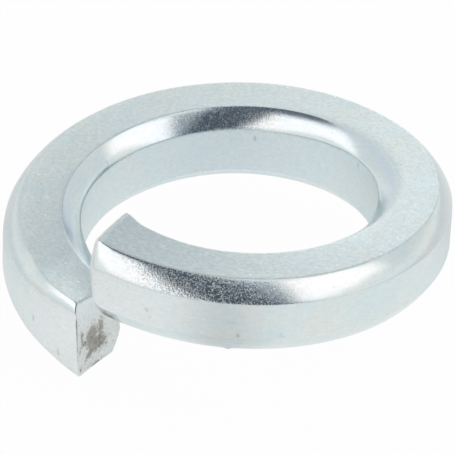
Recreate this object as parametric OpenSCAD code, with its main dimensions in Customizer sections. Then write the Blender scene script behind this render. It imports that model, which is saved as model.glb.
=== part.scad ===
// Split spring lock washer for an M6 screw: one turn of square-section wire,
// coiled into a left-hand helix, with both ends sheared at a slant.
// Units are millimetres, +Z is up and the hole's axis is Z.

/* [Ring] */
// Diameter of the hole for the screw
bore_diameter = 6.1; // [5.8:0.1:6.6]
// Width of the wire, from the hole to the rim
ring_width = 1.54; // [1.2:0.02:1.9]
// Thickness of the wire
thickness = 1.7; // [1.3:0.02:2.1]

/* [Helix] */
// Height that the wire climbs over one full turn
turn_height = 1.74; // [1.2:0.02:2.2]
// Angle that the wire turns through, from the lower cut end to the raised one
sweep = 354.9; // [345:0.1:356]
// Direction of the lower cut end, in degrees anticlockwise from +X
low_end_angle = 228.1; // [195:0.1:255]

/* [Corners] */
// Reach of each rounded corner over the top and bottom faces
corner_across = 0.3; // [0.2:0.01:0.45]
// Reach of each rounded corner along the hole and the rim
corner_along = 0.43; // [0.2:0.01:0.5]
// Fullness of each corner, where 0 is a flat chamfer and 1 blends into the faces
corner_fullness = 0.55; // [0:0.05:0.7]

/* [Cut] */
// Lean of both cut ends, seen from above
cut_skew = 11.8; // [0:0.2:25]
// Lean of both cut ends, seen from the side
cut_slant = 6.3; // [0:0.2:20]

/* [Hidden] */
bore_radius = bore_diameter / 2;
rim_radius = bore_radius + ring_width;
mean_radius = bore_radius + ring_width / 2;
// steps round the helix, steps along one corner, and steps over which the cut's lean fades out
rings = 120;
corner_steps = 5;
lean_rings = 8;
// the swept wire passes the hole and the rim by this much, and the tube trims it to size
trim = 0.02;
// height of the ring, with room for the cut's lean, and how far the tube passes it
free_height = thickness + turn_height * (sweep + 20) / 360;
spare_height = thickness / 2;
// rounded corner: length of its chord and height of its swell
chord = norm([corner_across, corner_along]);
swell = corner_fullness * chord / 4 * min(corner_across / corner_along, corner_along / corner_across);
// the lowest point, at the lower end's outer edge, stands on z = 0
lead = (tan(cut_skew) * (ring_width / 2 - corner_across) + tan(cut_slant) * thickness / 2) * 180 / (PI * mean_radius);
lift = turn_height * lead / 360;
$fn = 180;

// a point of a rounded corner, as its distances from the wall and from the face
function corner_point(w) =
    let (bulge = 4 * swell * w * (1 - w) / chord)
    [corner_across * w - bulge * corner_along, corner_along * (1 - w) - bulge * corner_across];

// the corner from just outside the wall to the face
function corner_arc() =
    let (first = corner_point(0.1))
    let (steep = (corner_along - first[1]) / first[0])
    concat(
        [[-trim, corner_along + steep * trim]],
        [for (k = [0 : corner_steps - 1]) corner_point(0.1 + 0.9 * k / (corner_steps - 1))]
    );

// the wire's section as [radius, height] points, anticlockwise from the inner bottom corner
function wire_section() =
    let (arc = corner_arc())
    let (last = len(arc) - 1)
    concat(
        [for (k = [0 : last]) [bore_radius + arc[k][0], arc[k][1]]],
        [for (k = [last : -1 : 0]) [rim_radius - arc[k][0], arc[k][1]]],
        [for (k = [0 : last]) [rim_radius - arc[k][0], thickness - arc[k][1]]],
        [for (k = [last : -1 : 0]) [bore_radius + arc[k][0], thickness - arc[k][1]]]
    );

// a section point carried round the helix to step i, leaning with the cut near both ends
function helix_point(i, p) =
    let (lean = max(0, 1 - i / lean_rings, 1 - (rings - i) / lean_rings))
    let (offset = tan(cut_skew) * (p[0] - mean_radius) - tan(cut_slant) * (p[1] - thickness / 2))
    let (angle = low_end_angle - sweep * i / rings + lean * offset * 180 / (PI * mean_radius))
    [p[0] * cos(angle), p[0] * sin(angle), p[1] + lift + turn_height * (low_end_angle - angle) / 360];

// the wire swept round the helix, a little wider than the finished ring
module coiled_wire() {
    section = wire_section();
    n = len(section);
    points = [for (i = [0 : rings]) for (p = section) helix_point(i, p)];
    sides = [
        for (i = [0 : rings - 1]) for (j = [0 : n - 1])
            let (a = i * n + j, b = i * n + (j + 1) % n)
            each [[b, a, a + n], [b, a + n, b + n]]
    ];
    low_end = [for (k = [1 : n - 2]) [0, k, k + 1]];
    high_end = [for (k = [1 : n - 2]) [rings * n, rings * n + k + 1, rings * n + k]];
    polyhedron(points = points, faces = concat(sides, low_end, high_end), convexity = 6);
}

// the space between the hole's wall and the rim
module tube() {
    difference() {
        translate([0, 0, -spare_height])
            cylinder(r = rim_radius, h = free_height + 2 * spare_height);
        translate([0, 0, -2 * spare_height])
            cylinder(r = bore_radius, h = free_height + 4 * spare_height);
    }
}

module split_ring() {
    color("#C3CBCC")
        intersection() {
            coiled_wire();
            tube();
        }
}

split_ring();
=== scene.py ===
# %% [markdown]
# # A split spring lock washer
# The real part is one turn of square steel wire, coiled into a helix, sheared off at both ends and zinc
# plated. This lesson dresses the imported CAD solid. It works out one fine surface that stands for the solid,
# gives it two plated finishes, and puts it on white paper in a photographer's light tent.

# %% Load the frame
import math

import bpy
import numpy as np
from mathutils import Matrix, Vector


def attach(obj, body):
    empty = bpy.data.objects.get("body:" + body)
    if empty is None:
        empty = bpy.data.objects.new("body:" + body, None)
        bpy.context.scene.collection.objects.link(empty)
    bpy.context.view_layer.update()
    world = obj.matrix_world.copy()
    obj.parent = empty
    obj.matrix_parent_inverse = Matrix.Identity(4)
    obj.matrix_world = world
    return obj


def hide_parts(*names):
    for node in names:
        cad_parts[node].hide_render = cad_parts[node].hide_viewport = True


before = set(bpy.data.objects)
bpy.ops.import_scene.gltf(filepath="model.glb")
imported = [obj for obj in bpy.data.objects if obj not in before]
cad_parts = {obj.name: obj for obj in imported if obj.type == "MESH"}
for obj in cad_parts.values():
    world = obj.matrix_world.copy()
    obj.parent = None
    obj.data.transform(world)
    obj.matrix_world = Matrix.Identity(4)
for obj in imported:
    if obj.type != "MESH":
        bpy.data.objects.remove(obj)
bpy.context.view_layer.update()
MM = 0.001

# %% [markdown]
# ## The wire and its helix
# A washer like this is fully given by a few sizes: the hole, the wire's width and thickness, how far the wire
# climbs in a turn, and how its ends were cut. They are the CAD model's own sizes, so the surface lands on the
# solid with no fitting. Two things are finer here: the corners are crowned a little less, and each cut end
# has its own place and lean, up to about 0.1 mm from the solid's. Lengths are in millimetres and become
# metres only when the mesh is made.

# %% Sizes
BORE_R, WIRE_WIDTH, WIRE_THICK = 3.05, 1.54, 1.70
RIM_R, MEAN_R, HALF_THICK = BORE_R + WIRE_WIDTH, BORE_R + WIRE_WIDTH / 2, WIRE_THICK / 2
CLIMB, COIL_START = 1.74, 228.1
CORNER_ACROSS, CORNER_ALONG, CORNER_FULL = 0.30, 0.43, 0.28


def slope(degrees):
    """Rise over run of an angle in degrees: its tangent."""
    return math.tan(math.radians(degrees))


CAD_SKEW, CAD_SLANT = slope(11.8), slope(6.3)
LOW_ANGLE, LOW_SKEW, LOW_SLANT = 228.54, slope(11.7), slope(5.9)
HIGH_ANGLE, HIGH_SKEW, HIGH_SLANT = -128.6, slope(11.5), slope(5.7)
# the solid's lowest point, at the lower end's outer edge, stands on z = 0
LEAD = CAD_SKEW * (WIRE_WIDTH / 2 - CORNER_ACROSS) + CAD_SLANT * HALF_THICK
LIFT = CLIMB * LEAD / (2 * math.pi * MEAN_R)
WIRE_LENGTH = math.radians(LOW_ANGLE - HIGH_ANGLE) * MEAN_R
print(f"wire {WIRE_WIDTH} x {WIRE_THICK} mm, {WIRE_LENGTH:.1f} mm long along its middle")

# %% [markdown]
# ## The wire's section
# Drawn square wire has four crowned corners with a soft crease on each side. The section is a closed line of
# eight stretches: four flats and four corners. It is first worked out sharp on a very fine spacing and then
# averaged along itself, which rounds every crease by a known length; a bevel would need the same rounding
# everywhere. Only points that crowd towards the creases are kept for the mesh. Each corner has a reach across
# the face and one along the wall, which may change from row to row: the shear and the coiling tool left no
# two alike.

# %% Stretches of the section, and the points kept for the mesh
MESH_STEPS = {"bottom": 8, "outer_bottom": 9, "rim": 18, "outer_top": 13,
              "top": 20, "inner_top": 13, "bore": 14, "inner_bottom": 9}
FINE, CROWDING = 0.005, 0.8
CHORD = math.hypot(CORNER_ACROSS, CORNER_ALONG)
FINE_STEPS = [round(length / FINE) for length in
              (WIRE_WIDTH - 2 * CORNER_ACROSS, CHORD, WIRE_THICK - 2 * CORNER_ALONG, CHORD) * 2]


def crowded(count):
    """Count places from 0 up to but not including 1, closer at both ends: t less a share of
    sin(2 pi t) / (2 pi)."""
    t = np.arange(count) / count
    return t - CROWDING * np.sin(2 * np.pi * t) / (2 * np.pi)


first = np.cumsum([0] + FINE_STEPS)
picks = np.concatenate([start + np.round(crowded(few) * many).astype(int)
                        for start, few, many in zip(first, MESH_STEPS.values(), FINE_STEPS)])
around = np.append(picks, first[-1]) * FINE
starts = dict(zip(MESH_STEPS, first * FINE))
spans = dict(zip(MESH_STEPS, np.diff(first) * FINE))
print(len(picks), "points round the section,", f"{around[-1]:.2f} mm round")

# %% Section line


def corner_reach(w, across, along, full=CORNER_FULL):
    """Distances of a corner point from the wall and from the face: the straight chamfer from (0, along) to
    (across, 0), less a parabola full w (1 - w) that swells it towards the sharp corner."""
    bulge = full * w * (1 - w)
    return across * (w - bulge), along * (1 - w - bulge / 2)


def between(start, end, t):
    """A flat: the straight line start + (end - start) t."""
    return start + (end - start) * t


def sharp_section(across, along, bore, inner_full):
    """Radius and height of the fine section line, one row for each row of corner reaches (outer bottom, outer
    top, inner top, inner bottom), of the bore's radius and of the inner top corner's fullness. A corner is a
    crowned chamfer, and a flat joins two corners."""
    low_out, top_out, top_in, low_in = np.hsplit(across, 4)
    low_out_up, top_out_up, top_in_up, low_in_up = np.hsplit(along, 4)
    base, roof, rim = 0 * bore, WIRE_THICK + 0 * bore, RIM_R + 0 * bore
    t = [np.arange(n) / n for n in FINE_STEPS]
    low_out_r, low_out_z = corner_reach(1 - t[1], low_out, low_out_up)
    top_out_r, top_out_z = corner_reach(t[3], top_out, top_out_up)
    top_in_r, top_in_z = corner_reach(1 - t[5], top_in, top_in_up, inner_full)
    low_in_r, low_in_z = corner_reach(t[7], low_in, low_in_up)
    radius = [between(bore + low_in, rim - low_out, t[0]), rim - low_out_r,
              between(rim, rim, t[2]), rim - top_out_r,
              between(rim - top_out, bore + top_in, t[4]), bore + top_in_r,
              between(bore, bore, t[6]), bore + low_in_r]
    height = [between(base, base, t[0]), low_out_z,
              between(low_out_up, roof - top_out_up, t[2]), roof - top_out_z,
              between(roof, roof, t[4]), roof - top_in_z,
              between(roof - top_in_up, low_in_up, t[6]), low_in_z]
    return np.hstack(radius), np.hstack(height)


def rounded(line, reach):
    """Rounds a closed line: each point becomes the mean of its neighbours, weighted by a bell curve whose
    half width is the reach in millimetres. In waves round the line, that is a factor
    exp(-2 (pi reach wave) squared)."""
    wave = np.fft.fftfreq(line.shape[1], FINE)
    kept = np.exp(-2 * (np.pi * reach * wave) ** 2)
    return np.fft.ifft(np.fft.fft(line, axis=1) * kept, axis=1).real


print("section line of", sum(FINE_STEPS), "fine points")

# %% [markdown]
# ## Rows along the wire
# The surface is a grid: one direction goes round the section, the other follows the wire. Each row has a
# place along the wire and a scale of the section. At both ends the rows first round the sheared edge and then
# shrink onto the middle of the cut face, so one grid closes the whole ring.

# %% Rows along the wire
LOW_EDGE, HIGH_EDGE, HALF_WIRE = 0.05, 0.22, 0.8
EDGE_ROWS, CAP_ROWS, BODY_ROWS = 7, 30, 776


def end_rows(edge):
    """Places and scales of the rows over a cut face and its rounded edge: the scale grows evenly over the
    face, then place and scale follow a quarter circle of the edge's radius."""
    turn = np.radians(np.linspace(0, 90, EDGE_ROWS + 1))
    on_face = np.linspace(0, 1 - edge / HALF_WIRE, CAP_ROWS + 1)[1:-1]
    on_edge = 1 - edge * (1 - np.sin(turn)) / HALF_WIRE
    return np.append(0 * on_face, edge * (1 - np.cos(turn))), np.append(on_face, on_edge)


low_place, low_scale = end_rows(LOW_EDGE)
high_place, high_scale = end_rows(HIGH_EDGE)
body_place = np.linspace(LOW_EDGE, WIRE_LENGTH - HIGH_EDGE, BODY_ROWS + 1)[1:-1]
from_low = np.concatenate([low_place, body_place, WIRE_LENGTH - high_place[::-1]])[:, None]
from_high = WIRE_LENGTH - from_low
scale = np.concatenate([low_scale, np.ones(len(body_place)), high_scale[::-1]])[:, None]
row_angle = LOW_ANGLE - np.degrees(from_low / MEAN_R)
print(len(from_low), "rows along the wire")

# %% [markdown]
# ## Marks of the shear and of the coiling tool
# A shear drags metal. The raised end keeps a nearly sharp inner top corner. The lower end has sharper outer
# corners than the rest of the wire, is twisted a little, with its outer edge up, and its top edge is rolled
# down where the blade came in. Each mark fades within a few millimetres of its end. The coiling tool
# rubbed some top creases softer. It left the inner top corner rounder at the back and wider and flatter on
# both sides, the inner bottom corner at about a third of the others, the bottom edge beside it a little
# higher at the back, and the coil a hair tighter on the left. A modifier could bend the ends too, but a
# formula for each mark keeps its size in millimetres in sight.

# %% How marks fade out


def ramp(value, start, end):
    """0 up to the start, 1 from the end on, and a straight line between them."""
    return np.clip((value - start) / (end - start), 0, 1)


def fade(distance, reach):
    """1 at no distance, falling along a smooth step t t (3 - 2 t) to 0 at the given reach."""
    t = ramp(distance, reach, 0)
    return t * t * (3 - 2 * t)


def beside(angle, reach):
    """A value for each row: 1 at a direction on the ring, fading out at a reach, both in degrees."""
    return fade(abs(row_angle - angle), reach)


def near_crease(stretch, width, past=0.0):
    """A value for each point of the section: exp(-(distance / width) squared) from the crease where a stretch
    starts, or from a line a little past it."""
    return np.exp(-((around[:-1] - starts[stretch] - past) / width) ** 2)


on_left, on_right = beside(200, 70), beside(14, 62)
print((on_left > 0).sum(), "rows are marked on the left,", (on_right > 0).sum(), "on the right")

# %% Corners along the wire
CORNERS = np.array(("outer_bottom", "outer_top", "inner_top", "inner_bottom"))
# usual share of each corner's full size, then its changes near an end, with their reach in millimetres
USUAL = (1.0, 1.0, 1.0, 0.35)
SHEARED = (("outer_bottom", from_low, -0.40, 3.0), ("outer_bottom", from_low, -0.28, 0.9),
           ("outer_top", from_low, -0.55, 1.8), ("outer_top", from_high, 0.15, 0.5),
           ("inner_top", from_high, -0.40, 2.2), ("inner_top", from_high, -0.40, 0.7),
           ("inner_bottom", from_low, 0.65, 0.6))
# rubbed creases: direction and reach in degrees, crease, half width in millimetres, strength
RUBBED = ((163, 55, "top", 0.30, 1.0), (190, 60, "outer_top", 0.25, 1.0),
          (5, 70, "inner_top", 0.25, 1.0), (200, 70, "inner_top", 0.15, 0.35))
WIDER_LEFT, WIDER_RIGHT, LOWER, TIGHTER = 0.42, 0.33, 0.35, 0.09
FULLER_BACK, FLATTER_LEFT = 0.14, 0.06
CRISP_REACH, SOFT_REACH = 0.018, 0.12
shares = USUAL + sum((CORNERS == corner) * change * fade(distance, reach)
                     for corner, distance, change, reach in SHEARED)
inner_top = CORNERS == "inner_top"
across = CORNER_ACROSS * (shares + (WIDER_LEFT * on_left + WIDER_RIGHT * on_right) * inner_top)
up = CORNER_ALONG * (shares - LOWER * (on_left + on_right) * inner_top)
inner_full = CORNER_FULL + FULLER_BACK * beside(60, 60) - FLATTER_LEFT * on_left
rubbed = sum(strength * beside(angle, reach) * near_crease(stretch, width)
             for angle, reach, stretch, width, strength in RUBBED)
sharp = sharp_section(across, up, BORE_R - TIGHTER * on_left, inner_full)
crisp, soft = ([rounded(line, reach)[:, picks] for line in sharp] for reach in (CRISP_REACH, SOFT_REACH))
r, z = (a + rubbed * (b - a) for a, b in zip(crisp, soft))
print(f"corners reach {across.min():.2f} to {across.max():.2f} mm across the faces")

# %% Bent ends and edges
TWIST, TWIST_BELOW, TWIST_REACH = 0.133, 0.7, 1.4
ROLL, ROLL_FROM, ROLL_TO, ROLL_WIDTH, ROLL_REACH = 0.08, 1.2, 1.6, 0.75, 1.0
PRESS, PRESS_REACH = 0.13, 1.0
r = MEAN_R + (r - MEAN_R) * scale
z = HALF_THICK + (z - HALF_THICK) * scale
twist = TWIST * between(TWIST_BELOW, 1, z / WIRE_THICK) * (r - BORE_R - CORNER_ACROSS)
twist = twist * fade(from_low, TWIST_REACH)
roll_down = np.sin(np.pi / 2 * ramp(RIM_R - r, 0, ROLL_WIDTH)) ** 2 * ramp(z, ROLL_FROM, ROLL_TO)
roll_down = roll_down * ramp(from_low, ROLL_REACH, 0) ** 2
pressed_up = beside(95, 110) * ramp(r - BORE_R, PRESS_REACH, 0) * ramp(z, PRESS_REACH, 0)
z = z + twist - ROLL * roll_down + PRESS * pressed_up
print(f"the lower end's outer edge is lifted {twist.max():.2f} mm")

# %% [markdown]
# ## The helix and its small unevenness
# Each section point is carried to its place on the helix. Nothing coiled from wire is perfectly even, so the
# section swells and shrinks by a few thousandths of a millimetre, which makes reflections on the corners
# waver. It shrinks more than it swells, to stay inside the solid's box.

# %% Helix and waves
LEAN_REACH, SLANT_LOSS = WIRE_LENGTH / 15, 0.4
SWELL, SWELL_LENGTHS, SWELL_SEED, SHRINK = 0.006, (3.0, 1.3, 0.6), 3, 1.5
SINES = 5


def helix(r, z, along):
    """Carries a section point round the helix: the angle falls with the way along the wire, the lean of the
    nearer cut is added near the ends (at the lower end it is more upright towards the rim), and the height
    climbs as the angle falls."""
    low, high = ramp(along, LEAN_REACH, 0), ramp(WIRE_LENGTH - along, LEAN_REACH, 0)
    low_slant = LOW_SLANT * (1 - SLANT_LOSS * (r - BORE_R) / WIRE_WIDTH)
    lead = low * (LOW_SKEW * (r - MEAN_R) - low_slant * (z - HALF_THICK))
    lead = lead + high * (HIGH_SKEW * (r - MEAN_R) - HIGH_SLANT * (z - HALF_THICK))
    angle = math.radians(LOW_ANGLE) - (along - lead) / MEAN_R
    rise = z + LIFT + CLIMB * (math.radians(COIL_START) - angle) / (2 * math.pi)
    return np.stack([r * np.cos(angle), r * np.sin(angle), rise], axis=-1)


def waves(points, seed, lengths):
    """A smooth bumpy field over points: for each wave length, five sines in random directions, summed with
    weights that grow with the length, and scaled to about -1 to 1."""
    rng = np.random.default_rng(seed)
    total = np.zeros(points.shape[:-1])
    for length in lengths:
        ways = rng.normal(size=(3, SINES))
        ways = ways / np.linalg.norm(ways, axis=0) * 2 * np.pi / length
        total = total + length * np.sin(points @ ways + rng.uniform(0, 2 * np.pi, SINES)).sum(-1)
    return total / (SINES / 2 * sum(lengths))


along = from_low + 0 * r
swell = SWELL * (waves(helix(r, z, along), SWELL_SEED, SWELL_LENGTHS) - SHRINK)
r, z = r + (r - MEAN_R) * swell, z + (z - HALF_THICK) * swell
print(f"the section varies by {1000 * HALF_WIRE * np.ptp(swell):.0f} thousandths of a millimetre")

# %% [markdown]
# ## The cut faces
# Shearing leaves a smooth band where the blade slid and a torn surface beyond it, where the steel broke. The
# torn part is modelled as small hollows pushed into the wire. Where the tear is deepest, the plating is
# missing: soft spots on the face, in millimetres across and up, say how bare each point is.

# %% Cut faces
SLID_HEIGHT, TORN_HEIGHT, TORN_POWER = 1.0, 1.35, 0.4
TEAR_LENGTHS, TEAR_SEED = (0.5, 0.24, 0.12, 0.07), 5
SUNK, TEAR, TEAR_WAVES, BARE_DEPTH = 0.012, 0.022, 0.03, 0.02
# scales of the section between which a cut face sinks, inside its rounded edge
LOW_SINK, HIGH_SINK = (0.95, 0.85), (0.85, 0.75)
# spots: across from the wire's middle, up, half width, half height, strength
LOW_BARE = ((0.14, 0.80, 0.19, 0.19, 1.1), (0.04, 0.54, 0.22, 0.20, 1.1), (-0.22, 0.44, 0.17, 0.12, 0.9),
            (-0.20, 0.80, 0.09, 0.24, 0.7), (0.50, 0.92, 0.045, 0.14, 0.9), (0.43, 0.72, 0.10, 0.05, 0.8),
            (0.27, 0.36, 0.12, 0.06, 0.9), (0.36, 0.25, 0.07, 0.08, 0.5), (0.60, 0.66, 0.06, 0.07, 0.6),
            (0.62, 0.24, 0.04, 0.045, 1.1), (0.02, 0.08, 0.15, 0.04, 1.2), (0.725, 1.35, 0.035, 0.26, 0.9),
            (0.735, 0.75, 0.02, 0.50, 0.3), (-0.09, 0.66, 0.05, 0.05, -0.8))
HIGH_BARE = ((-0.12, 1.02, 0.20, 0.16, 1.0), (0.18, 0.84, 0.10, 0.12, 0.8), (-0.40, 0.80, 0.07, 0.10, 0.7))
low_half = from_low < WIRE_LENGTH / 2
on_cut = np.where(low_half, ramp(scale, *LOW_SINK), ramp(scale, *HIGH_SINK))


def bareness(spots):
    """Sum of soft oval spots on a cut face: each is its strength times exp(-(distance in half widths)
    squared)."""
    return sum(strength * np.exp(-((r - MEAN_R - a) / wide) ** 2 - ((z - b) / tall) ** 2)
               for a, b, wide, tall, strength in spots)


bare = np.where(low_half, bareness(LOW_BARE), bareness(HIGH_BARE)) * (scale < 1)
slid = np.where(low_half, fade(WIRE_THICK - z, SLID_HEIGHT), fade(z, SLID_HEIGHT))
torn = np.where(low_half, fade(z, TORN_HEIGHT), fade(WIRE_THICK - z, TORN_HEIGHT)) ** TORN_POWER
# the third coordinate sets the ends 3 mm apart, so that their tears differ
face = np.stack([r - MEAN_R, z, 3.0 * low_half + 0 * r], axis=-1)
tear = torn * (TEAR + TEAR_WAVES * waves(face, TEAR_SEED, TEAR_LENGTHS))
hollow = on_cut * (SUNK + tear + BARE_DEPTH * np.clip(bare, 0, 1))
along = along + np.where(low_half, hollow, -hollow)
points = helix(r, z, along)
print(f"hollows up to {hollow.max():.3f} mm deep")

# %% [markdown]
# ## Pits and a nub
# Under the plating the wire carries a few small pits, and one burr stands on the lower outer corner. Each is
# a soft round dent or bump along the surface's own direction. A few are placed where they are seen in the
# photo, the rest are scattered on the sides that it hides.

# %% Pits and a nub
PIT_RADIUS, PIT_DEPTH, NUB_RADIUS, NUB_HEIGHT = 0.03, 0.008, 0.07, 0.035
NUB = (-88.4, "outer_bottom", 0.15)
# pits: direction in degrees, stretch, share of the way across it, and share of the full depth
SEEN_PITS = [(-109.7, "rim", 0.42, 0.6), (-86.1, "rim", 0.12, 1.0), (-75.4, "rim", 0.12, 0.5),
             (212.6, "rim", 0.38, 0.7), (222.3, "rim", 0.12, 0.7), (180.3, "top", 0.46, 0.4),
             (-38.5, "top", 0.54, 0.6), (29.9, "bore", 0.12, 0.7), (144.5, "inner_top", 0.75, 0.5)]
HIDDEN_SEED, HIDDEN_SHARES, HIDDEN_DEPTH = 11, (0.15, 0.85), 0.7
UNDER, INSIDE, BEHIND = ("bottom", -100, 200), ("bore", -100, 200), ("rim", 20, 150)
rng = np.random.default_rng(HIDDEN_SEED)
hidden_pits = [(rng.uniform(low, high), stretch, rng.uniform(*HIDDEN_SHARES), HIDDEN_DEPTH)
               for stretch, low, high in [UNDER, INSIDE, UNDER, INSIDE, UNDER] + [BEHIND] * 6]


def dent(angle, stretch, share, radius):
    """exp(-(distance / radius) squared) from a place on the wire, given by its angle, stretch and share of
    it."""
    off_along = (from_low - math.radians(LOW_ANGLE - angle) * MEAN_R) * r / MEAN_R
    off_round = around[:-1] - starts[stretch] - share * spans[stretch]
    return np.exp(-(off_along ** 2 + off_round ** 2) / radius ** 2)


down_wire, round_wire = np.gradient(points, axis=0), np.roll(points, -1, 1) - np.roll(points, 1, 1)
normal = np.cross(round_wire, down_wire)
normal = normal / np.maximum(np.linalg.norm(normal, axis=-1, keepdims=True), 1e-9)
pit = sum(depth * dent(*place, PIT_RADIUS) for *place, depth in SEEN_PITS + hidden_pits)
points = points + normal * (NUB_HEIGHT * dent(*NUB, NUB_RADIUS) - PIT_DEPTH * pit)[..., None]
print(len(SEEN_PITS + hidden_pits), "pits and a nub; height in mm", points[..., 2].max().round(3))

# %% [markdown]
# ## The mesh
# Rows become vertices and neighbouring rows become quads; a single vertex closes each cut face with a fan of
# triangles. The corners of each face run anticlockwise seen from outside, so that it points outwards. A UV
# map in millimetres follows the wire, because the drawing die left its lines along it.

# %% Mesh of the ring
rows, cols = r.shape
tips = points[[0, -1]].mean(1)
coords = np.vstack([points.reshape(-1, 3), tips]) * MM
row, col = np.meshgrid(np.arange(rows - 1), np.arange(cols), indexing="ij")
here, next_round = row * cols + col, row * cols + (col + 1) % cols
quads = np.stack([here, next_round, next_round + cols, here + cols], axis=-1).reshape(-1, 4)
ring = np.arange(cols)
last = (rows - 1) * cols
low_fan = np.stack([np.full(cols, rows * cols), (ring + 1) % cols, ring], axis=-1)
high_fan = np.stack([np.full(cols, rows * cols + 1), last + ring, last + (ring + 1) % cols], axis=-1)
mesh = bpy.data.meshes.new("split_ring_surface")
mesh.from_pydata(coords, [], quads.tolist() + low_fan.tolist() + high_fan.tolist())
mesh.polygons.foreach_set("use_smooth", np.ones(len(mesh.polygons), dtype=bool))
washer = bpy.data.objects.new("split_ring_surface", mesh)
bpy.context.scene.collection.objects.link(washer)
print(len(mesh.vertices), "vertices,", 2 * len(quads) + 2 * cols, "triangles")

# %% UV map along the wire
quad_u = np.stack([along[:-1], np.roll(along[:-1], -1, 1), np.roll(along[1:], -1, 1), along[1:]], axis=-1)
quad_v = np.stack([around[col], around[col + 1], around[col + 1], around[col]], axis=-1)
fan_uv = np.stack([np.zeros(6 * cols), np.resize([0.0, 1.0, 1.0], 6 * cols)], axis=-1)
wire_uv = np.vstack([np.stack([quad_u, quad_v], axis=-1).reshape(-1, 2), fan_uv])
mesh.uv_layers.new(name="wire_mm").data.foreach_set("uv", wire_uv.astype(np.float32).ravel())
print(f"UV map {wire_uv[:, 0].max():.1f} mm along and {wire_uv[:, 1].max():.1f} mm round the wire")

# %% [markdown]
# ## Numbers for the finishes
# The finishes need to know where they are on the wire: how polished a corner is, where the coiling stretched
# the plate into an orange peel, where the shear's clamp scuffed the top, where a bluish shade and a paler rim
# are painted on, how bare a cut face is. Painting by hand would do, but here each is a formula, stored as one
# number on each vertex for the materials to read.

# %% Numbers on the vertices


def by_stretch(other=0.0, **values):
    """A value for each point of the section: the one given for its stretch, or else the other one."""
    return np.repeat([values.get(name, other) for name in MESH_STEPS], list(MESH_STEPS.values()))


def point_value(name, values, at_tips=(0, 0)):
    """Stores one number per vertex under a name that a material can read."""
    layer = mesh.attributes.new(name, "FLOAT", "POINT")
    layer.data.foreach_set("value", np.append(np.ravel(values), at_tips).astype(np.float32))


polish = by_stretch(1.0, bottom=0, rim=0, top=0, bore=0) * (1 - 0.6 * np.clip(rubbed, 0, 1))
peel = by_stretch(0.3, outer_bottom=0.15, inner_bottom=0.15, outer_top=0.1, inner_top=0.1)
peel = peel + beside(-95, 32) * by_stretch(outer_top=0.9) + beside(92, 38) * by_stretch(inner_top=0.35)
scuff = (fade(from_high, 4.5) + 0.5 * fade(from_low, 4.0)) * by_stretch(top=1)
cloud = scuff + by_stretch(0.3, bottom=1, top=1, rim=0.35, bore=0.35)
# painted shade: a bluish tint along the inner top crease on both sides and at the back of the hole, where the
# tent's bluish shade is reflected
painted_blue_shade = 0.5 * (on_left + on_right) * near_crease("inner_top", 0.14, past=0.12)
painted_blue_shade = painted_blue_shade + beside(88, 85) * by_stretch(bore=0.3, inner_top=0.1, inner_bottom=0.1)
# painted light: the rim near both ends is painted paler and warmer, as light from the paper beside the ends
painted_rim_light = (fade(from_high, 3.5) + fade(from_low, 2.0)) * by_stretch(rim=1)
PLATE_VALUES = {"polish": polish, "peel": peel, "scuff": scuff, "cloud": cloud, "painted_blue_shade": painted_blue_shade, "painted_rim_light": painted_rim_light,
                "pit": pit}
for name, values in PLATE_VALUES.items():
    point_value(name, values)
CUT_VALUES = {"bare": bare, "slid": slid}
for name, values in CUT_VALUES.items():
    point_value(name, values, values[[0, -1]].mean(1))
mesh.update()
print("values on the vertices:", *PLATE_VALUES, *CUT_VALUES)

# %% [markdown]
# ## Colours and nodes
# Colours are written as sRGB hex values, as a paint chart gives them, and turned to the linear values that
# the shader works in. One small function adds a node. A plain row of inputs fills its sockets in order: a
# Math node takes up to three numbers, and a Map Range node a value, where its ramp starts and ends, and what
# it gives there. A Mix node has a pair of sockets for each kind of data, so these have to be counted.

# %% Helpers for materials
NUMBER_A, NUMBER_B, COLOUR_A, COLOUR_B, COLOUR_MIX = 2, 3, 6, 7, 2


def linear(hex_colour):
    """sRGB hex to linear RGBA, by the standard's curve: a short straight part, then a power of 2.4."""
    s = np.array([int(hex_colour[i:i + 2], 16) for i in (1, 3, 5)]) / 255
    lin = np.where(s <= 0.04045, s / 12.92, ((s + 0.055) / 1.055) ** 2.4)
    return (*lin.tolist(), 1.0)


def add(tree, kind, inputs=(), out=0, **settings):
    """Adds a shader node of a kind, sets its properties, fills its inputs, given in order or by name or
    number, with values or links, and returns one output, the first unless another is asked for."""
    node = tree.nodes.new("ShaderNode" + kind)
    for name, value in settings.items():
        setattr(node, name, value)
    for key, value in inputs.items() if isinstance(inputs, dict) else enumerate(inputs):
        if isinstance(value, bpy.types.NodeSocket):
            tree.links.new(value, node.inputs[key])
        else:
            node.inputs[key].default_value = value
    return node.outputs[out] if len(node.outputs) else None


def new_material(name):
    """An empty material with nodes, and its node tree."""
    material = bpy.data.materials.new(name)
    material.use_nodes = True
    material.node_tree.nodes.clear()
    return material, material.node_tree


WHITE = linear("#FFFFFF")
print("white in linear light", WHITE)
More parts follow.
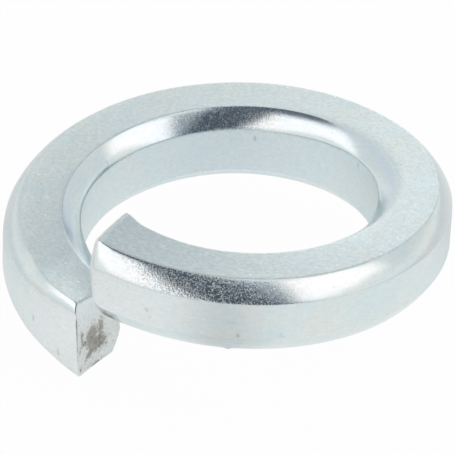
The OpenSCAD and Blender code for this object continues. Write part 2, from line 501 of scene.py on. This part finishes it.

# %% [markdown]
# ## Zinc plate on drawn wire
# Electroplated zinc with a clear blue passivation is a pale bluish metal. On the flats it is satin, because
# the drawn steel under it is finely scratched along the wire; on the corners, which the drawing die
# burnished, it is glossy, except where the coiling tool rubbed a crease. The drawn lines are about 0.05 mm
# apart. A fine orange peel, with bumps 0.04 mm across, is strongest on the top corners, outside at the front,
# where coiling stretched the wire, and inside at the back. On it sit zinc crystals, each a facet with its own
# tilt and gloss, drawn 0.02 mm across, far coarser than the real ones, to show. A few larger ones are painted
# white as glints, a painted highlight for crystals that catch the light, and small flecks lie dark.

# %% Patterns in the plate
LINE_LENGTH, LINE_GAP, FLECK_LENGTH, FLECK_WIDTH = 1 / 5, 1 / 21, 1 / 7, 1 / 16
PEEL_SIZE, MOTTLE_SIZE, BLOTCH_SIZE, FACET_SIZE, SPECK_SIZE = 1 / 28, 1 / 13, 1 / 1.6, 1 / 44, 1 / 14
SPECK_RARITY = 0.985
plate, tree = new_material("zinc_plate_on_drawn_wire")
place_mm = add(tree, "Mapping", {"Vector": add(tree, "TexCoord", out="Object"), "Scale": [1 / MM] * 3})
wire_mm = add(tree, "UVMap", uv_map="wire_mm")
polished, peeling, scuffed, cloudy, bluish, painted_rim_light_share, pitted = (
    add(tree, "Attribute", out="Fac", attribute_name=name) for name in PLATE_VALUES)
lines_at = add(tree, "Mapping", {"Vector": wire_mm, "Scale": (1 / LINE_LENGTH, 1 / LINE_GAP, 1)})
lines = add(tree, "TexNoise", {"Vector": lines_at, "Scale": 1, "Detail": 3})
flecks_at = add(tree, "Mapping", {"Vector": wire_mm, "Scale": (1 / FLECK_LENGTH, 1 / FLECK_WIDTH, 1)})
flecks = add(tree, "TexNoise", {"Vector": flecks_at, "Scale": 1, "Detail": 1})
bumps, mottle, blotch = (
    add(tree, "TexNoise", {"Vector": place_mm, "Scale": 1 / size, "Detail": detail, "Roughness": roughness})
    for size, detail, roughness in ((PEEL_SIZE, 1.5, 0.5), (MOTTLE_SIZE, 3, 0.6), (BLOTCH_SIZE, 5, 0.6)))
facet = add(tree, "TexVoronoi", {"Vector": place_mm, "Scale": 1 / FACET_SIZE}, "Color")
facet_seed = add(tree, "SeparateColor", [facet])
facet_tilt = add(tree, "VectorMath", [facet, (0.5, 0.5, 0.5)], operation="SUBTRACT")
speck = add(tree, "TexVoronoi", {"Vector": place_mm, "Scale": 1 / SPECK_SIZE}).node.outputs
speck_near = add(tree, "MapRange", [speck["Distance"], 0.2, 0.42, 0.7, 0])
speck_seed = add(tree, "SeparateColor", [speck["Color"]])
# painted glints: a few scattered cells are painted white, standing in for crystals that catch the light
painted_glint = add(tree, "Math", [speck_seed, SPECK_RARITY], operation="GREATER_THAN")
for share in (speck_near, cloudy):
    painted_glint = add(tree, "Math", [painted_glint, share], operation="MULTIPLY")
print(plate.name, "has patterns of", len(tree.nodes), "nodes")

# %% [markdown]
# ## Colour of the plate
# The plate's colour is built up in layers, each mixed over the last: a blotchy pale zinc, then what the
# tools and the crystals did to it, and some painted light. A bluish painted shade lies at the back of the
# hole and along the inner top crease on both sides, where the tent's bluish shade is reflected, and the rim
# near both ends is painted paler and warmer, as painted light from the paper. Near both ends the top is
# darker and more streaked, where the shear's clamp held it. The crystals mottle the flats, the top and bottom
# more than the rim and the hole, and a few are painted white as glints.

# %% Colour of the plate
hue = add(tree, "MapRange", [blotch, 0.35, 0.65, 0, 1])
worn_off = add(tree, "Math", [scuffed, 0.30], operation="MULTIPLY")
streak_size = add(tree, "Math", [scuffed, 0.25, 0.14], operation="MULTIPLY_ADD")
streak = add(tree, "MapRange", [lines, 0.3, 0.7, 0, streak_size])
grain = add(tree, "MapRange", [mottle, 0.35, 0.7, 0, 0.5])
grain = add(tree, "Math", [grain, cloudy], operation="MULTIPLY")
fleck = add(tree, "MapRange", [flecks, 0.72, 0.82, 0, 0.45])
# share and colour of each layer, from the plain zinc up to the pits
# the bluish layer is a painted shade, the pale warm rim layer painted light, and the white layer painted
# glints
LAYERS = ((hue, "#E9F0EC"), (bluish, "#D2E6F7"), (painted_rim_light_share, "#EFF3F3"), (worn_off, "#B6C8CB"),
          (streak, "#B9C6CA"), (grain, "#C3CFD2"), (painted_glint, "#FFFFFF"), (fleck, "#A9B2B3"),
          (pitted, "#8F9896"))
tint = linear("#DEECEE")
for share, colour in LAYERS:
    tint = add(tree, "Mix", {"Factor": share, COLOUR_A: tint, COLOUR_B: linear(colour)}, COLOUR_MIX,
               data_type="RGBA")
print("plate coloured in", len(LAYERS) + 1, "layers")

# %% [markdown]
# ## Gloss and relief of the plate
# A facet's gloss and tilt count most where the peel is strong, so the corners' dark reflections turn grainy
# there. The peel and the drawn lines are too shallow for the mesh and are left to bump nodes, a few
# thousandths of a millimetre deep.

# %% Gloss and relief of the plate
SATIN, GLOSS, BLOTCH_DULL, FACET_DULL, FACET_TILT = 0.36, 0.13, 0.05, 0.42, 0.08
PEEL_DEPTH, LINE_DEPTH = 0.0035 * MM, 0.008 * MM
dull = add(tree, "MapRange", [polished, 0, 1, SATIN, GLOSS])
dull = add(tree, "Math", [hue, BLOTCH_DULL, dull], operation="MULTIPLY_ADD")
matt = add(tree, "MapRange", [facet_seed, 0.4, 0.95, 0, FACET_DULL])
dull = add(tree, "Math", [matt, peeling, dull], operation="MULTIPLY_ADD")
lined = add(tree, "MapRange", [polished, 0, 1, 0.4, 0.08])
relief = add(tree, "Bump", {"Strength": peeling, "Distance": PEEL_DEPTH, "Height": bumps})
relief = add(tree, "Bump", {"Strength": lined, "Distance": LINE_DEPTH, "Height": lines, "Normal": relief})
tilt_size = add(tree, "Math", [peeling, FACET_TILT], operation="MULTIPLY")
tilt = add(tree, "VectorMath", {0: facet_tilt, "Scale": tilt_size}, operation="SCALE")
tilted = add(tree, "VectorMath", [relief, tilt], operation="ADD")
tilted = add(tree, "VectorMath", [tilted], operation="NORMALIZE")
skin = add(tree, "BsdfPrincipled", {"Base Color": tint, "Metallic": 1.0, "Roughness": dull, "Normal": tilted})
add(tree, "OutputMaterial", {"Surface": skin})
mesh.materials.append(plate)
print(plate.name, "has", len(tree.nodes), "nodes")

# %% [markdown]
# ## Zinc plate on the sheared ends
# The torn cut faces are matt and off-white under their thin zinc. Where the blade slid they are smoother, and
# painted lighter and bluish, a painted sheen, since their roughness stays that of the torn part. Where the
# plating is missing, brownish bare steel shows with ragged edges, so the soft spots stored on the mesh are
# broken up by noise about 0.05 mm across.

# %% Zinc plate on the sheared ends
GRIT_SIZE, GRIT_DEPTH, RAGGED_SIZE, RAGGED_SHARE, MATT = 1 / 14, 0.014 * MM, 1 / 20, 2.2, 0.6
# a face belongs to the cut where its rows have less than this share of the full section
CUT_SCALE = 0.975
cut, tree = new_material("zinc_plate_on_sheared_steel")
place_mm = add(tree, "Mapping", {"Vector": add(tree, "TexCoord", out="Object"), "Scale": [1 / MM] * 3})
bare_spot, blade = (add(tree, "Attribute", out="Fac", attribute_name=name) for name in CUT_VALUES)
grit, ragged = (
    add(tree, "TexNoise", {"Vector": place_mm, "Scale": 1 / size, "Detail": detail, "Roughness": 0.65})
    for size, detail in ((GRIT_SIZE, 5), (RAGGED_SIZE, 3)))
broken = add(tree, "Math", [ragged, RAGGED_SHARE, bare_spot], operation="MULTIPLY_ADD")
worn = add(tree, "MapRange", [broken, 1.25, 1.75, 0, 1])
shade = add(tree, "MapRange", [grit, 0.3, 0.7, 0, 1])
steel, zinc = (
    add(tree, "Mix", {"Factor": shade, COLOUR_A: linear(dark), COLOUR_B: linear(pale)}, COLOUR_MIX,
        data_type="RGBA")
    for dark, pale in (("#989690", "#CFCEC7"), ("#E6ECEA", "#F8FBF9")))
tint = zinc
# painted sheen: the slid band is painted a lighter bluish white; the bare spots show steel
for share, colour in ((blade, linear("#F8FFFF")), (worn, steel)):
    tint = add(tree, "Mix", {"Factor": share, COLOUR_A: tint, COLOUR_B: colour}, COLOUR_MIX, data_type="RGBA")
gritty = add(tree, "MapRange", [blade, 0, 1, 0.8, 0.3])
relief = add(tree, "Bump", {"Strength": gritty, "Distance": GRIT_DEPTH, "Height": grit})
skin = add(tree, "BsdfPrincipled", {"Base Color": tint, "Metallic": 1.0, "Roughness": MATT, "Normal": relief})
add(tree, "OutputMaterial", {"Surface": skin})
mesh.materials.append(cut)
face_scale = np.append(np.repeat((scale[:-1] + scale[1:]) / 2, cols), np.zeros(2 * cols))
mesh.polygons.foreach_set("material_index", (face_scale < CUT_SCALE).astype(np.int32))
print(cut.name, "covers", int((face_scale < CUT_SCALE).sum()), "faces")

# %% [markdown]
# ## Joining the frame
# The surface stands for the CAD solid, which stays in the physics model for collision.

# %% Ride on the frame
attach(washer, "root")
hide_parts("split_ring")
print(washer.name, "rides on root")

# %% [markdown]
# ## Camera
# The photo was taken from about 34 degrees above the table with a long lens, so near and far parts of the
# ring have nearly the same scale. The camera looks at the middle of the ring, a hair above half its height.

# %% Camera
CAMERA_UP, CAMERA_DOWN = math.radians(33.7372), math.radians(33.8353)
CAMERA_YAW, CAMERA_ROLL = math.radians(0.0092), math.radians(-2.5438)
CAMERA_AWAY, AIM_ABOVE = 104.68275, 0.032
FOCAL_PIXELS, PHOTO_PIXELS, SENSOR = 5108.69, 455, 36.0
AIM_HEIGHT = LIFT + HALF_THICK + CLIMB / 2 + AIM_ABOVE
eye = Vector((0, -CAMERA_AWAY * math.cos(CAMERA_UP), CAMERA_AWAY * math.sin(CAMERA_UP) + AIM_HEIGHT)) * MM
level_way = Vector((math.sin(CAMERA_YAW), math.cos(CAMERA_YAW), 0))
ahead = level_way * math.cos(CAMERA_DOWN) - Vector((0, 0, math.sin(CAMERA_DOWN)))
right = Vector((math.cos(CAMERA_YAW), -math.sin(CAMERA_YAW), 0))
above = right.cross(ahead)
side = math.cos(CAMERA_ROLL) * right - math.sin(CAMERA_ROLL) * above
over = math.sin(CAMERA_ROLL) * right + math.cos(CAMERA_ROLL) * above
lens = bpy.data.cameras.new("camera")
lens.sensor_width, lens.lens, lens.clip_start = SENSOR, FOCAL_PIXELS / PHOTO_PIXELS * SENSOR, MM
camera = bpy.data.objects.new("camera", lens)
camera.matrix_world = Matrix.Translation(eye) @ Matrix((side, over, -ahead)).transposed().to_4x4()
bpy.context.scene.collection.objects.link(camera)
bpy.context.scene.camera = camera
print("camera", [round(v / MM, 1) for v in eye], "mm, lens", round(lens.lens), "mm")

# %% [markdown]
# ## White paper
# The washer lies on white paper. Camera rays see it almost as plain white, so the background stays clean,
# with a small share of diffuse shading for the soft shadow. Glossy and transmission rays see the same white
# beside the ring, and more of its shading under the wire, further away, behind the ring, a little at the
# left, and in a strip in the middle, which the dark slit lights less, most of all in front of the ring and
# not at the back of the hole. Places on the paper are in millimetres from the hole's axis.

# %% What reflections see of the paper
paper, tree = new_material("white_paper")
rays = add(tree, "LightPath").node.outputs
spot = add(tree, "Mapping", {"Vector": add(tree, "TexCoord", out="Object"), "Scale": [1 / MM] * 3})
spot_x, spot_y, _ = add(tree, "SeparateXYZ", [spot]).node.outputs
from_axis = add(tree, "VectorMath", [spot], "Value", operation="LENGTH")
far_away = add(tree, "MapRange", [from_axis, 9.5, 24, 1, 0.36])
far_left = add(tree, "MapRange", [spot_x, -6.4, -5.0, 0.72, 1])
outside = add(tree, "MapRange", [from_axis, 4.4, 5.2, 0, -0.55])
rear = add(tree, "MapRange", [spot_y, 0, 3, 0, 1])
rear = add(tree, "Math", [outside, rear, 1], operation="MULTIPLY_ADD")
past_hole = add(tree, "MapRange", [from_axis, 2.4, 3.0, 0, 1])
under = add(tree, "MapRange", [from_axis, 4.7, 5.4, -0.26, 0])
under = add(tree, "Math", [past_hole, under, 1], operation="MULTIPLY_ADD")
strip_edge = add(tree, "MapRange", [spot_y, -5.5, -3.5, 2.2, 1.0])
off_middle = add(tree, "Math", [spot_x], operation="ABSOLUTE")
strip = add(tree, "MapRange", [off_middle, 0.3, strip_edge, 1, 0])
dimmer = add(tree, "MapRange", [spot_y, -5.5, -3.5, -0.85, -0.38])
strip_end = add(tree, "MapRange", [spot_y, 1.0, 1.7, 1, 0])
dimmer = add(tree, "Math", [dimmer, strip_end], operation="MULTIPLY")
strip = add(tree, "Math", [strip, dimmer, 1], operation="MULTIPLY_ADD")
mirrored = add(tree, "Math", [rays["Is Glossy Ray"], rays["Is Transmission Ray"]], operation="MAXIMUM")
for share in (far_away, far_left, rear, strip, under):
    mirrored = add(tree, "Math", [mirrored, share], operation="MULTIPLY")
print("paper shaded for reflections by", len(tree.nodes), "nodes")

# %% Floor
CAMERA_WHITE, FLOOR_HALF = 0.97, 2
white_share = add(tree, "Math", [rays["Is Camera Ray"], CAMERA_WHITE, mirrored], operation="MULTIPLY_ADD")
matte = add(tree, "BsdfDiffuse", {"Color": linear("#FAFAFA")})
plain_white = add(tree, "Emission", {"Color": WHITE, "Strength": 1.0})
both = add(tree, "MixShader", [white_share, matte, plain_white])
add(tree, "OutputMaterial", {"Surface": both})
floor_mesh = bpy.data.meshes.new("floor")
floor_corners = [(x * FLOOR_HALF, y * FLOOR_HALF, 0) for x, y in ((-1, -1), (1, -1), (1, 1), (-1, 1))]
floor_mesh.from_pydata(floor_corners, [], [(0, 1, 2, 3)])
floor_mesh.materials.append(paper)
floor = bpy.data.objects.new("floor", floor_mesh)
bpy.context.scene.collection.objects.link(floor)
print("floor of white paper")

# %% [markdown]
# ## The light tent
# Small shiny parts are photographed in a tent of white cloth. Lamps in it would do, but their reflections are
# hard to place, so here the world paints the tent by direction: azimuth from the camera, in degrees to the
# right, and elevation.

# %% Directions in the tent
EASED = {"interpolation_type": "SMOOTHSTEP"}
world = bpy.data.worlds.new("light_tent")
world.use_nodes = True
bpy.context.scene.world = world
tree = world.node_tree
tree.nodes.clear()
way_x, way_y, way_z = add(tree, "SeparateXYZ", [add(tree, "TexCoord", out="Generated")]).node.outputs
forward = add(tree, "Math", [way_y, -1], operation="MULTIPLY")
azimuth = add(tree, "Math", [way_x, forward], operation="ARCTAN2")
azimuth = add(tree, "Math", [azimuth], operation="DEGREES")
elevation = add(tree, "Math", [way_z], operation="ARCSINE")
elevation = add(tree, "Math", [elevation], operation="DEGREES")
aside = add(tree, "Math", [azimuth], operation="ABSOLUTE")
print("directions by azimuth and elevation")

# %% [markdown]
# ## Panels and slit
# Two lit panels stand left and right of the camera, with a dimmer foot that is highest beside the washer. The
# slit that the camera looks through is dark, with a paler flap on its right, and paler overhead. The glossy
# corners show that slit as a black streak with soft white on both sides.

# %% Panels and slit
PANEL, PANEL_FOOT, SLIT, FLAP = 1.36, 0.90, 0.145, 0.48
leaning = add(tree, "Math", [elevation, 0.9, azimuth], operation="MULTIPLY_ADD")
left_side = add(tree, "MapRange", [leaning, -6, 4, 1, 0], **EASED)
left_top = add(tree, "MapRange", [elevation, 42, 54, 1, 0], **EASED)
left_panel = add(tree, "Math", [left_side, left_top], operation="MULTIPLY")
right_side = add(tree, "MapRange", [azimuth, 28, 46, 0, 1], **EASED)
right_top = add(tree, "MapRange", [elevation, 48, 64, 1, 0], **EASED)
right_panel = add(tree, "Math", [right_side, right_top], operation="MULTIPLY")
panels = add(tree, "Math", [left_panel, right_panel], operation="MAXIMUM")
foot_rise = add(tree, "MapRange", [aside, 45, 80, 11, 20])
foot_drop = add(tree, "MapRange", [aside, 84, 106, 0, -7])
foot_height = add(tree, "Math", [foot_rise, foot_drop], operation="ADD")
over_foot = add(tree, "Math", [elevation, foot_height], operation="SUBTRACT")
panel_light = add(tree, "MapRange", [over_foot, -4, 5, PANEL_FOOT, PANEL], **EASED)
panels = add(tree, "Math", [panels, panel_light], operation="MULTIPLY")
flap_edge = add(tree, "Math", [elevation, 0.4, azimuth], operation="MULTIPLY_ADD")
slit = add(tree, "MapRange", [flap_edge, 30, 42, SLIT, FLAP], **EASED)
overhead = add(tree, "MapRange", [elevation, 46, 62, 0, 0.45], **EASED)
to_right = add(tree, "MapRange", [azimuth, -12, 18, 0.1, 1], **EASED)
slit = add(tree, "Math", [overhead, to_right, slit], operation="MULTIPLY_ADD")
front = add(tree, "Math", [slit, panels], operation="MAXIMUM")
print("panels of level", PANEL, "and a slit of level", SLIT)

# %% [markdown]
# ## Cloth
# The cloth at the sides and behind is pale, behind on the right more near the table than overhead, and a rod
# holds it at the back right. It begins where the two panels end.

# %% Cloth
CLOTH_LOW, CLOTH, CLOTH_BEHIND, ROD_AT, ROD_SHADE = 0.90, 0.80, 0.985, 158, -0.35
sides = add(tree, "MapRange", [elevation, 4, 16, CLOTH_LOW, CLOTH], **EASED)
steep = add(tree, "MapRange", [way_x, -0.1, 0.1, -0.008, 0.09], **EASED)
lower = add(tree, "MapRange", [elevation, 16, 54, 18, -20])
back = add(tree, "Math", [lower, steep, CLOTH_BEHIND], operation="MULTIPLY_ADD")
back = add(tree, "Clamp", [back, 0.2, 1.48])
behind = add(tree, "MapRange", [aside, 156, 172, 0, 1], **EASED)
cloth = add(tree, "Mix", {"Factor": behind, NUMBER_A: sides, NUMBER_B: back})
from_rod = add(tree, "Math", [azimuth, ROD_AT], operation="SUBTRACT")
from_rod = add(tree, "Math", [from_rod], operation="ABSOLUTE")
rod = add(tree, "MapRange", [from_rod, 3, 7, ROD_SHADE, 0], **EASED)
rod_foot = add(tree, "MapRange", [elevation, 8, 18, 0, 1], **EASED)
rod = add(tree, "Math", [rod, rod_foot, 1], operation="MULTIPLY_ADD")
cloth = add(tree, "Math", [cloth, rod], operation="MULTIPLY")
left_end = add(tree, "MapRange", [azimuth, -118, -106, 0, 1], **EASED)
right_end = add(tree, "MapRange", [azimuth, 84, 97, 1, 0], **EASED)
facing = add(tree, "Math", [left_end, right_end], operation="MULTIPLY")
tent = add(tree, "Mix", {"Factor": facing, NUMBER_A: cloth, NUMBER_B: front})
print("cloth of level", CLOTH, "and a rod at azimuth", ROD_AT)

# %% [markdown]
# ## Colours of the tent
# Dim parts of the tent are bluish, as shade is, and the panels' light is a little warm. Seen by the camera
# itself, the world is plain white. The Standard view keeps these levels as they are painted.

# %% Colours of the tent
seen = add(tree, "LightPath", out="Is Camera Ray")
level = add(tree, "Math", [tent, seen], operation="MAXIMUM")
lit = add(tree, "MapRange", [level, 0, 0.85, 0, 1])
warm = add(tree, "MapRange", [level, 1.0, 1.3, 0, 1])
warm = add(tree, "Math", [warm, facing], operation="MULTIPLY")
light = linear("#B0C6E8")
for share, colour in ((lit, "#FFFFFF"), (warm, "#FFF5F6")):
    light = add(tree, "Mix", {"Factor": share, COLOUR_A: light, COLOUR_B: linear(colour)}, COLOUR_MIX,
                data_type="RGBA")
sky = add(tree, "Background", {"Color": light, "Strength": level})
add(tree, "OutputWorld", {"Surface": sky})
bpy.context.scene.view_settings.view_transform = "Standard"
print("light tent with", len(tree.nodes), "nodes")
